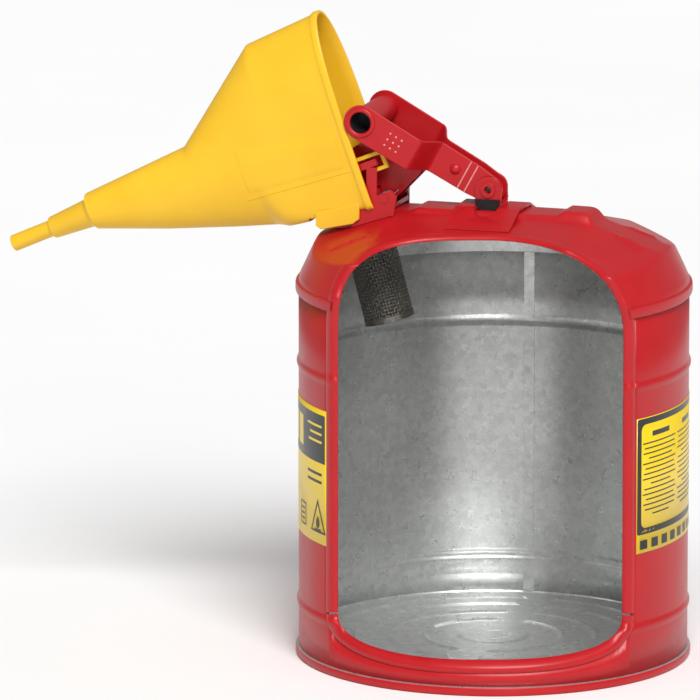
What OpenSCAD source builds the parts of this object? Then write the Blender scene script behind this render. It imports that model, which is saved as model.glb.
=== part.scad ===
// Five gallon safety can, cut away on its front to show the inside, with a clip-on pour funnel.
// Origin: centre of the circle that the can stands on. +Z up, spout towards -X, window towards -Y.

/* [Body] */
// Outer radius of the drawn steel body
body_r = 147; // [146:0.5:148]
// Wall thickness of body, dome and floor
wall = 1.1; // [0.8:0.1:1.4]
// Height of the rolled seam that joins body and dome (top of the seam)
seam_top_z = 286.5; // [285:0.5:288]
// Outer radius of the two rolled seams
seam_r = 149.4; // [149:0.1:150]
// Height of the floor above the surface that the can stands on
floor_z = 11; // [9:0.5:13]
// How far the two stiffening beads stand out of the body
bead_rise = 1.5; // [1:0.1:2]

/* [Window] */
// Direction that the window faces, measured from -Y towards +X
window_turn = 17; // [15:0.5:19]
// Upward tilt of the direction in which the window was cut
window_tilt = 12; // [11:0.5:13]
// Half the width of the cut
window_half_w = 112.5; // [108:0.5:113]
// Width of the turned-in edge at the sides of the window
edge_w = 6.6; // [5:0.2:8]

/* [Dome] */
// Height of the dome's flat middle
roof_z = 338.5; // [338:0.1:339]
// Fall of the dome towards the spout and away from it
roof_fall_x = 0.35; // [0.34:0.01:0.36]
// Fall of the dome towards front and back
roof_fall_y = 0.235; // [0.22:0.005:0.25]

/* [Spout] */
// Tilt of the spout towards -X
spout_tilt = 15; // [14:0.5:16]
// Outer radius of the spout's neck
neck_r = 21.5; // [21:0.1:21.6]
// Radius of the flame arrester's outer sleeve
arrester_r = 18.6; // [18:0.1:19]
// Length of the flame arrester below the dome
arrester_l = 76; // [70:1:76]

/* [Handle] */
// Height of the handle's pivot
pivot_z = 356.4; // [356:0.1:358.4]
// Distance from the pivot to the grip's centre
arm_l = 105.6; // [105:0.2:108]
// Slope of the arms at rest
arm_slope = 28.5; // [27.5:0.5:29]
// Outer radius of the grip tube
grip_r = 10.2; // [9.6:0.1:10.4]
// Radius of the hole through the grip tube
grip_hole_r = 8; // [7:0.1:8.2]

/* [Funnel] */
// Radius of the funnel's outlet tip
tip_r = 6.35; // [6:0.05:6.5]
// Wall thickness of the moulded funnel
funnel_wall = 1.6; // [1.4:0.1:1.6]

/* [Hidden] */
$fn = 96;

red = [0.78, 0.12, 0.11];
steel = [0.62, 0.64, 0.63];

// Body: beads, seams
seam_h = 8;
foot_h = 7;
bead_z = [41, 225];
bead_half_h = 5;

// Window outline in the plane across the cutting direction: u to the side, v up
cut_mid_u = -11.3;
cut_low_v = 30;
cut_high_v = 235;
cut_low_h = 41;
cut_high_h = 78;
edge_low_w = 7.7;
edge_high_w = 4.3;
edge_depth = 5;
edge_sheet = 1.6;
cut_steps = 96;

// Dome
roof_flat_x = 74;
roof_flat_y = 14;
pad_z = 341.2;
hump_z = 344.5;

// Spout: the neck's axis leaves the dome at spout_at
spout_at = [-101.7, 0, 325];
seat_s = 21.2;
cap_top_s = seat_s + 4.2;
cap_r = 25.2;
hinge_u = 28.8;
hinge_s = 17;
hinge_pin_r = 2;
hinge_x = spout_at[0] + hinge_u * cos(spout_tilt) - hinge_s * sin(spout_tilt);
hinge_z = spout_at[2] + hinge_u * sin(spout_tilt) + hinge_s * cos(spout_tilt);
collar_r = 23.6;
bracket_y = 25.6;
plate = 1.8;

// Handle
arm_end_r = 13.3;
arm_plate = 1.5;
arm_wide_y = 31.6;
arm_narrow_y = 6;
pivot_end_r = 10.6;
arm_neck_x = -14;
arm_neck_h = 12.1;
rivet_x = -29.8;
pivot_x = -2.2;
pivot_r = 4.35;
pivot_gap = 0.05;
ear_y = 8;
ear_r = 10.2;
saddle_z = 344;

// Funnel: the hooks hang on the spout bracket's cross bars
bar_x = -93;
bar_z = 373;
bar_slope = 23;
bar_l = 19;
bar_h = 5;
tip_at = [-381, 0, 291.6];
funnel_slope = 24;
stem_l = 71;
lip_rise = 1;
lip_ahead = 2;
neck_gap_y = 25.8;
cheek_gap_y = 28.1;
foot_y = 27.8;
hook_y = 22.4;
hook_w = 2.8;

// ---------------------------------------------------------------- shared shapes

// Bulge of the body wall at height z
function bead(z) = sum([for (b = bead_z)
    abs(z - b) < bead_half_h ? bead_rise * pow(cos(90 * (z - b) / bead_half_h), 2) : 0]);
function sum(v, i = 0) = i < len(v) ? v[i] + sum(v, i + 1) : 0;
function wall_r(z) = body_r + bead(z);

// Heights at which the wall's outline needs a point
function wall_levels(low, high) = concat([low],
    [for (b = bead_z) for (k = [-5:5]) if (b + k * bead_half_h / 5 > low && b + k * bead_half_h / 5 < high)
        b + k * bead_half_h / 5], [high]);

// A ring of the wall's own shape, from inset a to inset b below the outer surface
module wall_ring(low, high, a, b) {
    z = wall_levels(low, high);
    polygon(concat([for (h = z) [wall_r(h) - a, h]],
        [for (i = [len(z) - 1:-1:0]) [wall_r(z[i]) - b, z[i]]]));
}

// Height of the dome's outer surface, without its raised pad
function roof(x, y) = roof_z - roof_fall_x * max(abs(x) - roof_flat_x, 0)
    - roof_fall_y * max(abs(y) - roof_flat_y, 0);

// Radius of the dome's shoulder at height z
function shoulder_r(z) = z < 290 ? body_r - 0.15 * max(z - seam_top_z, 0)
    : z < 318 ? 146.4 - 0.46 * (z - 290) : 133.5 - 0.8 * (z - 318);

// The solid block under the dome's outer surface, shrunk by k
module roof_block(k) {
    reach = 160;
    low = 250;
    xs = [-reach, -roof_flat_x, roof_flat_x, reach];
    ys = [-reach, -roof_flat_y, roof_flat_y, reach];
    top = [for (x = xs) for (y = ys) [x, y, roof(x, y) - k]];
    base = [for (x = xs) for (y = ys) [x, y, low]];
    cells = [for (i = [0:2]) for (j = [0:2]) [i * 4 + j, i * 4 + j + 1, i * 4 + j + 5, i * 4 + j + 4]];
    rim = [0, 1, 2, 3, 7, 11, 15, 14, 13, 12, 8, 4];
    polyhedron(concat(top, base), concat(
        cells,
        [for (c = cells) [c[3] + 16, c[2] + 16, c[1] + 16, c[0] + 16]],
        [for (i = [0:11]) let(a = rim[i], b = rim[(i + 1) % 12]) [b, a, a + 16, b + 16]]));
}

// A low raised pad with sloping sides, from x0 to x1
module raised_pad(x0, x1, half_y, low, high, k) {
    run = (high - low) * 1.6;
    hull() {
        translate([x0 - run, -half_y - run, low - 3 - k]) cube([x1 - x0 + 2 * run, 2 * (half_y + run), 3]);
        translate([x0, -half_y, high - 3 - k]) cube([x1 - x0, 2 * half_y, 3]);
    }
}

module dome_block(k) {
    intersection() {
        roof_block(k);
        rotate_extrude() polygon([[0, 260], [body_r - k, 260], [body_r - k, seam_top_z],
            [shoulder_r(290) - k, 290], [shoulder_r(304) - k, 304], [shoulder_r(318) - k, 318],
            [shoulder_r(326) - k, 326], [shoulder_r(345) - k, 345], [0, 345]]);
    }
    raised_pad(-56, 78, 15, roof_z - 1, pad_z, k);
    raised_pad(58, 76, 12, pad_z - 1, hump_z, k);
}

// Axes of the window's cutting direction: u to the side, v up, w towards the viewer of the window
cut_u = [cos(window_turn), sin(window_turn), 0];
cut_v = [-sin(window_turn) * sin(window_tilt), cos(window_turn) * sin(window_tilt), cos(window_tilt)];
cut_w = [sin(window_turn) * cos(window_tilt), -cos(window_turn) * cos(window_tilt), sin(window_tilt)];
function in_space(p, w) = p[0] * cut_u + p[1] * cut_v + w * cut_w;

// The window's outline: a rectangle whose ends are blunt half ovals, shrunk by share k of the edge's width
function blunt(t, n) = sign(t) * pow(abs(t), 2 / n);
function window_point(a, k) =
    let(up = a >= 0 && a < 180,
        n = up ? (cos(a) < 0 ? 3.2 : 2.3) : (cos(a) < 0 ? 2.3 : 2.6),
        half_w = window_half_w - k * edge_w,
        h = up ? cut_high_h - k * edge_high_w : cut_low_h - k * edge_low_w,
        base = up ? cut_high_v : cut_low_v)
    [cut_mid_u + half_w * blunt(cos(a), n), base + h * blunt(sin(a), n)];

// Is a point inside the can's outer surface?
function inside(p) = norm([p[0], p[1]]) < (p[2] < seam_top_z ? wall_r(p[2]) : shoulder_r(p[2]))
    && p[2] < roof(p[0], p[1]);

// Where a line along the cutting direction leaves the can, found by halving
function on_surface(p, low = 0, high = 240, n = 22) = n == 0 ? in_space(p, low)
    : let(mid = (low + high) / 2)
        inside(in_space(p, mid)) ? on_surface(p, mid, high, n - 1) : on_surface(p, low, mid, n - 1);

module window_cut() {
    rotate([90 - window_tilt, 0, window_turn]) linear_extrude(height = 260)
        polygon([for (i = [0:cut_steps - 1]) window_point(360 * i / cut_steps, 0)]);
}

// The turned-in edge along part of the window: a thin strip that leans in from the cut
module window_strip(angles) {
    rings = [for (a = angles)
        let(outer = on_surface(window_point(a, 0.06)), inner = on_surface(window_point(a, 1)))
        [outer + 0.4 * cut_w, inner - edge_depth * cut_w, inner - (edge_depth + edge_sheet) * cut_w,
            outer - edge_sheet * 1.5 * cut_w]];
    sweep(rings);
}

// Skin over a row of rings with equal point counts, closed at both ends
module sweep(rings) {
    n = len(rings[0]);
    m = len(rings);
    polyhedron([for (r = rings) for (p = r) p], concat(
        [[for (i = [n - 1:-1:0]) i]],
        [for (k = [0:m - 2]) for (i = [0:n - 1])
            let(a = k * n + i, b = k * n + (i + 1) % n) each [[a, b, b + n], [a, b + n, a + n]]],
        [[for (i = [0:n - 1]) (m - 1) * n + i]]), convexity = 8);
}

// Place children on the spout's axis, s above the dome
module on_spout(s = 0) {
    translate(spout_at) rotate([0, -spout_tilt, 0]) translate([0, 0, s]) children();
}

// A pin along Y, from y0 to y1
module pin_y(r, y0, y1) {
    translate([0, y1, 0]) rotate([90, 0, 0]) cylinder(r = r, h = y1 - y0);
}

// An outline in X and Z, standing from y0 to y1
module plate_y(y0, y1) {
    translate([0, y1, 0]) rotate([90, 0, 0]) linear_extrude(height = y1 - y0) children();
}

module both_sides() {
    children();
    mirror([0, 1, 0]) children();
}

// A rolled seam: a ring with a rounded outside
module seam_ring(low, high, inner, outer) {
    rounding = (high - low) / 2;
    rotate_extrude() intersection() {
        translate([inner, low]) square([outer - inner, high - low]);
        seam_outline(low, high, outer, rounding);
    }
}

module seam_outline(low, high, outer, rounding) {
    translate([0, low]) square([outer - rounding * 0.6, high - low]);
    translate([outer - rounding, (low + high) / 2]) circle(r = rounding, $fn = 48);
}

// ---------------------------------------------------------------- can

module body_shell() {
    color(red) difference() {
        rotate_extrude() wall_ring(foot_h, seam_top_z - seam_h, 0, wall);
        window_cut();
    }
}

module top_dome() {
    color(red) {
        difference() {
            dome_block(0);
            dome_block(wall);
            translate([-200, -200, 200]) cube([400, 400, seam_top_z - 200]);
            on_spout(-20) cylinder(r = collar_r, h = 50);
            window_cut();
        }
        difference() {
            seam_ring(seam_top_z - seam_h, seam_top_z, body_r - wall, seam_r);
            window_cut();
        }
    }
}

module floor_bead(r, half_gap) {
    for (quarter = [0:3]) {
        swing = asin(half_gap / r);
        rotate([0, 0, quarter * 90 + swing]) rotate_extrude(angle = 90 - 2 * swing)
            translate([r, floor_z - 0.4]) circle(r = 1.6, $fn = 24);
    }
}

module bottom_pan() {
    floor_r = body_r - wall;
    color(steel) {
        rotate_extrude() polygon([[0, floor_z - wall], [floor_r - wall, floor_z - wall],
            [floor_r - wall, foot_h], [floor_r, foot_h], [floor_r, floor_z], [0, floor_z]]);
        seam_ring(0, foot_h, floor_r - wall, seam_r - 0.1);
        for (r = [52, 78, 104, 126]) floor_bead(r, 12);
        translate([0, 0, floor_z - 0.2]) cylinder(r = 26, h = 1.4);
    }
}

module side_seam_weld() {
    half_angle = 1.6;
    color(steel) rotate([0, 0, 95.5 - half_angle]) rotate_extrude(angle = 2 * half_angle)
        wall_ring(floor_z, seam_top_z - seam_h, wall, wall + 0.5);
}

module window_edge_arch() {
    color(red) window_strip([for (i = [0:84]) -1 + 182 * i / 84]);
}

module window_edge_sill() {
    color(red) window_strip([for (i = [0:60]) 182 + 176 * i / 60]);
}

module label(from, to) {
    color([0.95, 0.8, 0.12]) rotate([0, 0, from - 90]) rotate_extrude(angle = to - from)
        translate([body_r, 98]) square([0.35, 103]);
}

module label_left() {
    label(-106, -41.4);
}

module label_right() {
    label(62.6, 146);
}

// ---------------------------------------------------------------- spout, arrester, cap seat

module spout_neck() {
    lip_h = 4.4;
    color(red) on_spout() difference() {
        union() {
            translate([0, 0, -8]) cylinder(r = neck_r, h = 8 + seat_s);
            translate([0, 0, seat_s - lip_h]) cylinder(r = neck_r + 1.6, h = lip_h);
        }
        translate([0, 0, -9]) cylinder(r = neck_r - 1.4, h = 40);
    }
}

module spout_collar() {
    collar_low = -0.6;
    collar_edge = 7;
    color(red) on_spout() difference() {
        union() {
            translate([0, 0, collar_low]) cylinder(r = collar_r, h = collar_edge - collar_low);
            translate([0, 0, collar_edge]) cylinder(r1 = collar_r, r2 = neck_r + 0.9, h = 2);
        }
        translate([0, 0, -1]) cylinder(r = neck_r, h = 20);
    }
}

module spout_bracket() {
    post = [[-84, 351], [-84, 372], [-92, 372], [-92, 349], [-104, 345], [-104, 325.4]];
    near = concat([[-74, 335.6], [-71, 335.6], [-68.5, 351], [-72.5, 355.5], [-83, 351]], post);
    far = concat([[-77, 334.6], [-74.5, 335.4], [-74.5, 350], [-77, 353.5], [-83, 351]], post);
    web_x = -76.5;
    outer = bracket_y + plate;
    color(red) {
        difference() {
            union() {
                plate_y(-outer, -bracket_y) polygon(near);
                plate_y(bracket_y, outer) polygon(far);
            }
            translate([hinge_x, 0, hinge_z]) pin_y(hinge_pin_r, -40, 40);
        }
        both_sides() translate([bar_x, 0, bar_z]) rotate([0, -bar_slope, 0])
            translate([-bar_l / 2, hook_y, -bar_h / 2]) cube([bar_l, outer - hook_y, bar_h]);
        translate([web_x, -bracket_y, roof_z + 0.1]) cube([plate, 2 * bracket_y, 3.6]);
    }
}

module cap_hinge_pin() {
    shank = bracket_y + plate;
    color(steel) translate([hinge_x, 0, hinge_z]) {
        pin_y(hinge_pin_r, -shank, shank);
        both_sides() pin_y(hinge_pin_r + 1.4, shank, shank + 0.7);
    }
}

module mesh_sleeve(r, thick, s0, s1) {
    on_spout(s0) difference() {
        cylinder(r = r, h = s1 - s0);
        translate([0, 0, -1]) cylinder(r = r - thick, h = s1 - s0 + 2);
    }
}

module arrester_outer_mesh() {
    color(steel) mesh_sleeve(arrester_r, 0.6, -arrester_l, -9);
}

module arrester_inner_mesh() {
    color(steel) mesh_sleeve(arrester_r - 3, 0.6, -arrester_l, -9);
}

module arrester_top_ring() {
    color(steel) mesh_sleeve(neck_r - 1.4, 5.5, -9, -4);
}

module arrester_bottom_cap() {
    rim = arrester_r + 0.5;
    color(steel) on_spout(-arrester_l - 1.2) difference() {
        cylinder(r = rim, h = 4.2);
        difference() {
            translate([0, 0, 1.2]) cylinder(r = arrester_r, h = 10);
            cylinder(r = 5, h = 1.9);
        }
    }
}

module cap_cover() {
    skirt = 3.6;
    color(red) on_spout(seat_s - skirt) difference() {
        union() {
            cylinder(r = cap_r, h = skirt + 2);
            translate([0, 0, skirt + 2]) cylinder(r1 = cap_r, r2 = cap_r - 4, h = 2.2);
        }
        translate([0, 0, -1]) cylinder(r = cap_r - 1.5, h = skirt + 2.6);
        cylinder(r = 3, h = 20);
    }
}

module cap_gasket() {
    color([0.12, 0.12, 0.12]) on_spout(seat_s) difference() {
        cylinder(r = cap_r - 1.9, h = 1.6);
        translate([0, 0, -1]) cylinder(r = 3, h = 5);
    }
}

// The stem carries the gasket's plate below the cap and runs up into the lever
module cap_stem() {
    color(steel) on_spout(seat_s - 3) {
        cylinder(r = 10, h = 1.2);
        cylinder(r = 2.8, h = 14);
        translate([0, 0, 14]) cylinder(r = 5, h = 1.4);
    }
}

// Height of ring i in a stack of closed rings
function ring_at(wire, i) = wire + i * 2.05 * wire;

module ring_stack(r, wire, turns) {
    for (i = [0:turns - 1])
        translate([0, 0, ring_at(wire, i)]) rotate_extrude($fn = 48)
            translate([r, 0]) circle(r = wire, $fn = 16);
}

module cap_relief_spring() {
    color(steel) on_spout(seat_s - 1.7) ring_stack(6.5, 0.75, 1);
}

module cap_lever() {
    side = [[-105, 350.6], [-86, 355.7], [-84, 349], [-81, 344.2], [-76, 344.2], [-72.6, 348.2],
        [-57, 364.5], [-54, 368.4], [-56.5, 371.5], [-75, 379], [-104, 385.6], [-110, 381.5], [-110, 362]];
    web = [[-110, 362], [-110, 381.5], [-104, 385.6], [-75, 379], [-56.5, 371.5], [-56.8, 369.6],
        [-75.6, 377], [-103.6, 383.6], [-108.2, 380.4], [-108.2, 362]];
    color(red) difference() {
        union() {
            both_sides() plate_y(10.4, 12) polygon(side);
            plate_y(-10.4, 10.4) polygon(web);
            on_spout(cap_top_s) translate([-6, -11, 0]) cube([26, 22, 1.4]);
        }
        translate([hinge_x, 0, hinge_z]) pin_y(hinge_pin_r + 0.06, -20, 20);
        on_spout() cylinder(r = 2.8, h = 60);
    }
}

// Two coils round the hinge pin, each with a leg on the neck side
module cap_spring() {
    coil_r = 4.1;
    wire = 0.8;
    turns = 6;
    color(steel) both_sides() translate([hinge_x, 14, hinge_z]) {
        rotate([-90, 0, 0]) ring_stack(coil_r, wire, turns);
        rotate([0, 150, 0]) translate([-coil_r, ring_at(wire, turns - 1), 0])
            cylinder(r = wire - 0.2, h = 9);
    }
}

// ---------------------------------------------------------------- handle

module handle_saddle() {
    foot_z = roof_z - roof_fall_y * (38 - roof_flat_y);
    half = [[0, saddle_z], [15, saddle_z], [37, foot_z + 1.9], [43, foot_z + 0.5], [43, foot_z - 0.9],
        [36.4, foot_z + 0.6], [14.4, saddle_z - 2], [0, saddle_z - 2]];
    color(red) difference() {
        translate([-26, 0, 0]) rotate([90, 0, 90]) linear_extrude(height = 50)
            polygon(concat([for (p = half) p], [for (i = [6:-1:1]) [-half[i][0], half[i][1]]]));
        both_sides() translate([pivot_x, 0, saddle_z + 5.5]) pin_y(11, 10.4, 30);
    }
}

module handle_clevis() {
    outer = ear_y + plate;
    color(red) {
        both_sides() difference() {
            plate_y(ear_y, outer) union() {
                translate([pivot_x, pivot_z]) circle(r = ear_r);
                translate([pivot_x - ear_r, saddle_z]) square([2 * ear_r, pivot_z - saddle_z]);
            }
            translate([pivot_x, 0, pivot_z]) pin_y(pivot_r, -20, 20);
        }
        translate([pivot_x - ear_r, -ear_y, saddle_z]) cube([2 * ear_r, 2 * ear_y, 1.4]);
    }
}

module handle_pivot_tube() {
    outer = ear_y + plate;
    color(red) translate([pivot_x, 0, pivot_z]) difference() {
        union() {
            pin_y(pivot_r, -outer, outer);
            both_sides() pin_y(pivot_r + 1.6, outer, outer + 1.2);
        }
        pin_y(2.6, -20, 20);
    }
}

// Place children in the handle's own frame: pivot at the origin, grip towards -X
module on_handle() {
    translate([pivot_x, 0, pivot_z]) rotate([0, arm_slope, 0]) children();
}

// One arm: wide at the grip, bent in to run between the clevis's ears
module arm() {
    joggle_x = -58.6;
    narrow_x = -49.2;
    t = arm_plate;
    color(red) on_handle() difference() {
        intersection() {
            translate([0, 0, -20]) linear_extrude(height = 40) polygon([
                [-arm_l - arm_end_r - 1, arm_wide_y], [joggle_x, arm_wide_y], [narrow_x - 1, arm_narrow_y],
                [14, arm_narrow_y], [14, arm_narrow_y + t], [narrow_x, arm_narrow_y + t],
                [joggle_x + 1, arm_wide_y + t], [-arm_l - arm_end_r - 1, arm_wide_y + t]]);
            plate_y(0, 40) union() {
                translate([-arm_l, 0]) circle(r = arm_end_r);
                circle(r = pivot_end_r);
                polygon([[-arm_l, -arm_end_r], [arm_neck_x, -arm_neck_h], [0, -pivot_end_r], [0, pivot_end_r],
                    [arm_neck_x, arm_neck_h], [-arm_l, arm_end_r]]);
            }
        }
        pin_y(pivot_r + pivot_gap, 0, 40);
        translate([-arm_l, 0, 0]) pin_y(grip_r, 0, 40);
        translate([rivet_x, 0, 0]) pin_y(2.4, 0, 40);
    }
    color(red) on_handle() translate([-21.8, arm_narrow_y + t - 0.2, -11.6]) cube([6.3, 0.5, 23.2]);
}

module handle_arm_far() {
    arm();
}

module handle_arm_near() {
    mirror([0, 1, 0]) arm();
}

module grip_tube() {
    outer = arm_wide_y + arm_plate;
    color(red) on_handle() translate([-arm_l, 0, 0]) difference() {
        union() {
            pin_y(grip_r, -outer, outer);
            both_sides() pin_y(grip_r + 1, outer, outer + 1);
        }
        pin_y(grip_hole_r, -50, 50);
    }
}

module handle_rivet() {
    outer = arm_narrow_y + arm_plate;
    color(red) on_handle() translate([rivet_x, 0, 0]) {
        pin_y(2.4, -outer, outer);
        both_sides() translate([0, outer, 0]) difference() {
            translate([0, -1.8, 0]) sphere(r = 4.6, $fn = 48);
            pin_y(10, -12, 0);
        }
    }
}

module handle_spacer() {
    color(steel) on_handle() translate([rivet_x, 0, 0]) difference() {
        pin_y(4.5, -arm_narrow_y, arm_narrow_y);
        pin_y(2.4, -20, 20);
    }
}

// ---------------------------------------------------------------- funnel

// Sections of the funnel's skin: top and bottom point in X and Z, half width, bluntness above and below
funnel_sections = [
    [[-322.5, 334], [-310, 307.5], 14.5, 2, 2],
    [[-285, 352.6], [-282, 309.2], 18.5, 2.1, 2.1],
    [[-243.8, 374.6], [-250, 310.8], 21.5, 2.2, 2.3],
    [[-220, 411], [-218, 314], 24, 2.2, 2.6],
    [[-194.8, 455.4], [-186, 317], 26.5, 2.2, 3],
    [[-170, 469], [-140, 326], 28.3, 2.2, 20],
    [[-139.5, 483], [-88, 341], 29.8, 2.2, 20]];

function section_ring(s, inset, n = 36) =
    let(mid = (s[0] + s[1]) / 2, half = norm(s[0] - s[1]) / 2, up = (s[0] - s[1]) / (2 * half))
    [for (i = [0:n - 1]) let(a = -360 * i / n, k = sin(a) > 0 ? s[3] : s[4],
        h = (half - inset) * blunt(sin(a), k), y = (s[2] - inset) * blunt(cos(a), k))
        [mid[0] + h * up[0], y, mid[1] + h * up[1]]];

// A ring of sections joined into a hollow shell, open at both ends
module funnel_shell() {
    n = 36;
    m = len(funnel_sections);
    outer = [for (s = funnel_sections) section_ring(s, 0)];
    inner = [for (s = funnel_sections) section_ring(s, funnel_wall)];
    points = [for (r = concat(outer, inner)) for (p = r) p];
    polyhedron(points, concat(
        [for (k = [0:m - 2]) for (i = [0:n - 1]) let(a = k * n + i, b = k * n + (i + 1) % n)
            each [[a, b, b + n], [a, b + n, a + n]]],
        [for (k = [0:m - 2]) for (i = [0:n - 1])
            let(a = (m + k) * n + i, b = (m + k) * n + (i + 1) % n) each [[b, a, b + n], [b + n, a, a + n]]],
        [for (i = [0:n - 1]) let(a = i, b = (i + 1) % n) each [[b, a, m * n + a], [b, m * n + a, m * n + b]]],
        [for (i = [0:n - 1]) let(a = (m - 1) * n + i, b = (m - 1) * n + (i + 1) % n)
            each [[a, b, m * n + b], [a, m * n + b, m * n + a]]]), convexity = 6);
}

// Raised band round the mouth, just past the last section
module funnel_lip() {
    last = funnel_sections[len(funnel_sections) - 1];
    across = (last[0] - last[1]) / norm(last[0] - last[1]);
    ahead = [across[1], -across[0]];
    function moved(k) = [last[0] + k * ahead, last[1] + k * ahead, last[2], last[3], last[4]];
    difference() {
        sweep([for (k = [-3, lip_ahead]) section_ring(moved(k), -lip_rise)]);
        sweep([for (k = [-6, lip_ahead + 2]) section_ring(moved(k), funnel_wall - 0.3)]);
    }
}

// Stepped outlet stem, from the tip to the skin's first section
module funnel_stem() {
    translate(tip_at) rotate([0, 90 - funnel_slope, 0]) rotate_extrude() polygon([
        [4.6, 0], [tip_r, 0], [tip_r, 33.7], [8.4, 34.6], [11, 67.6], [15, stem_l], [13, stem_l],
        [9, 67.6], [6.6, 35.6], [4.6, 34]]);
}

module funnel_hook() {
    inner = bar_h / 2 + 1.9;
    outer = inner + 3;
    end = bar_l / 2 + 3.8;
    color([0.98, 0.78, 0.2]) translate([bar_x, 0, bar_z]) rotate([0, -bar_slope, 0])
        plate_y(hook_y, hook_y + hook_w) polygon([
            [-15, inner], [end, inner], [end, -inner], [end - 8.6, -inner], [end - 8.6, -outer],
            [end + 3, -outer], [end + 3, outer], [-15, outer]]);
}

module funnel() {
    color([0.98, 0.78, 0.2]) {
        difference() {
            union() {
                funnel_shell();
                funnel_lip();
            }
            translate([-138, -neck_gap_y, 300]) cube([75, 2 * neck_gap_y, 60]);
            translate([-106, -cheek_gap_y, 300]) cube([45, 2 * cheek_gap_y, 60]);
        }
        funnel_stem();
        both_sides() {
            funnel_hook();
            translate([-110, hook_y, 373]) cube([5, 6, 5]);
            plate_y(foot_y, 30.4) polygon([[-131, 325.5], [-127, 323], [-102, 328.5], [-97, 332.5],
                [-97, 344], [-131, 336]]);
        }
    }
}

// ---------------------------------------------------------------- assembly

body_shell();
top_dome();
bottom_pan();
side_seam_weld();
window_edge_arch();
window_edge_sill();
spout_neck();
spout_collar();
spout_bracket();
cap_hinge_pin();
arrester_outer_mesh();
arrester_inner_mesh();
arrester_top_ring();
arrester_bottom_cap();
handle_saddle();
handle_clevis();
handle_pivot_tube();
label_left();
label_right();
cap_spring();
handle_arm_near();
handle_arm_far();
grip_tube();
handle_rivet();
handle_spacer();
cap_cover();
cap_gasket();
cap_relief_spring();
cap_stem();
cap_lever();
funnel();
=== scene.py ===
"""A five gallon safety can with a pour funnel, cut away on its front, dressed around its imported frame."""

import math

import bmesh
import bpy
from mathutils import Matrix, Vector


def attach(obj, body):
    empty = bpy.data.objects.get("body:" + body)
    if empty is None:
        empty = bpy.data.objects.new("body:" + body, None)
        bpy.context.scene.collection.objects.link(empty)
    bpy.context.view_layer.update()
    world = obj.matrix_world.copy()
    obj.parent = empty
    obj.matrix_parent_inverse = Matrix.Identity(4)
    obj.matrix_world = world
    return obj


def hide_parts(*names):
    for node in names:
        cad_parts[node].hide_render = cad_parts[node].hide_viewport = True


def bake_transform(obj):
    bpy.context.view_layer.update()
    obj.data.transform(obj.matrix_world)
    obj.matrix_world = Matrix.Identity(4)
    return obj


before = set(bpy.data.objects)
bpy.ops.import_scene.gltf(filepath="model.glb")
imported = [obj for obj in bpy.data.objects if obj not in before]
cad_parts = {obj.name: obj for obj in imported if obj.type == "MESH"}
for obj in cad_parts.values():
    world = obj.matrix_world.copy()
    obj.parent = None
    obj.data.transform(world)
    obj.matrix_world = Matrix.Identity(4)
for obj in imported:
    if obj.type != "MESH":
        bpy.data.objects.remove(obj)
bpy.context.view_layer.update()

# ---------------------------------------------------------------- sizes, in millimetres unless said

MM = 0.001
BODY_R = 147.0
WALL = 1.1
SEAM_LEAN = 0.15
KNEE_Z, KNEE_R, KNEE_LEAN = 290.0, 146.4, 0.46
BROW_Z, BROW_R, BROW_LEAN = 318.0, 133.5, 0.8
SEAM_TOP = 286.5
SEAM_H = 8.0
SEAM_R = 149.4
FOOT_H = 7.0
FLOOR_Z = 11.0
BEAD_Z = (41.0, 225.0)
BEAD_RISE = 1.5
BEAD_HALF = 5.0
INSIDE = Vector((0, 0, 150))

WINDOW_TURN = math.radians(17)
WINDOW_TILT = math.radians(12)
WINDOW_HALF_W = 112.5
WINDOW_MID = -11.3
WINDOW_LOW, WINDOW_HIGH = 30.0, 235.0
WINDOW_LOW_H, WINDOW_HIGH_H = 41.0, 78.0
EDGE_W, EDGE_LOW_W, EDGE_HIGH_W = 6.6, 7.7, 4.3

ROOF_Z, ROOF_FLAT_X, ROOF_FLAT_Y = 338.5, 74.0, 14.0
ROOF_FALL_X, ROOF_FALL_Y = 0.35, 0.235
PAD_Z, HUMP_Z = 341.2, 344.5

SPOUT_TILT = math.radians(15)
SPOUT_AT = Vector((-101.7, 0, 325))
COLLAR_R = 23.6
HINGE = Vector((-78.281, 0, 348.875))
ARRESTER_R, ARRESTER_L, ARRESTER_TOP = 18.6, 76.0, -9.0

PIVOT = Vector((-2.2, 0, 356.4))
ARM_L = 105.6
ARM_SLOPE = math.radians(28.5)
ARM_PLATE = 1.5
ARM_END_R, PIVOT_END_R = 13.3, 10.6
ARM_NECK_X, ARM_NECK_H = -14.0, 12.1
RIB_XS = (-21.6, -15.7)
ARM_WIDE_Y, ARM_NARROW_Y = 31.6, 6.0
JOGGLE_X, JOGGLE_L = -61.5, 16.0
GRIP_R, GRIP_HOLE_R = 10.2, 8.0
PIVOT_R = 4.35
# Painted shadow: a near-black half disc under each ear of the clevis, standing for the shade there.
SHADOW_DISC_R, SHADOW_DISC_TOP = 10, 349.4
SHADOW_DISC_Y = (10.5, 11.2)

LABEL_R = BODY_R + 0.35
LABEL_LOW, LABEL_HIGH = 98.0, 201.0

FUNNEL_WALL = 1.6
FUNNEL_TIP = Vector((-381, 0, 291.6))
FUNNEL_SLOPE = math.radians(24)
FUNNEL_GAPS = ((-138, 25.8), (-106, 28.1))
BAR_AT = Vector((-93, 0, 373))
BAR_SLOPE = math.radians(23)
HOOK_Y = (22.4, 25.2)
BRIDGE_Y = (22.4, 28.4)
FOOT_Y = (27.8, 30.4)

SUN_TURN, SUN_RISE = math.radians(26), math.radians(46)
SUN_STRENGTH, SUN_WIDTH, ROOM_LIGHT = 3.3, math.radians(30), 0.32
FLOOR_HALF_M = 30.0
VIEW_M, LENS_MM = 8.0, 543.2
AIM_RIGHT_M, AIM_UP_M = -0.1083, 0.227

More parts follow.
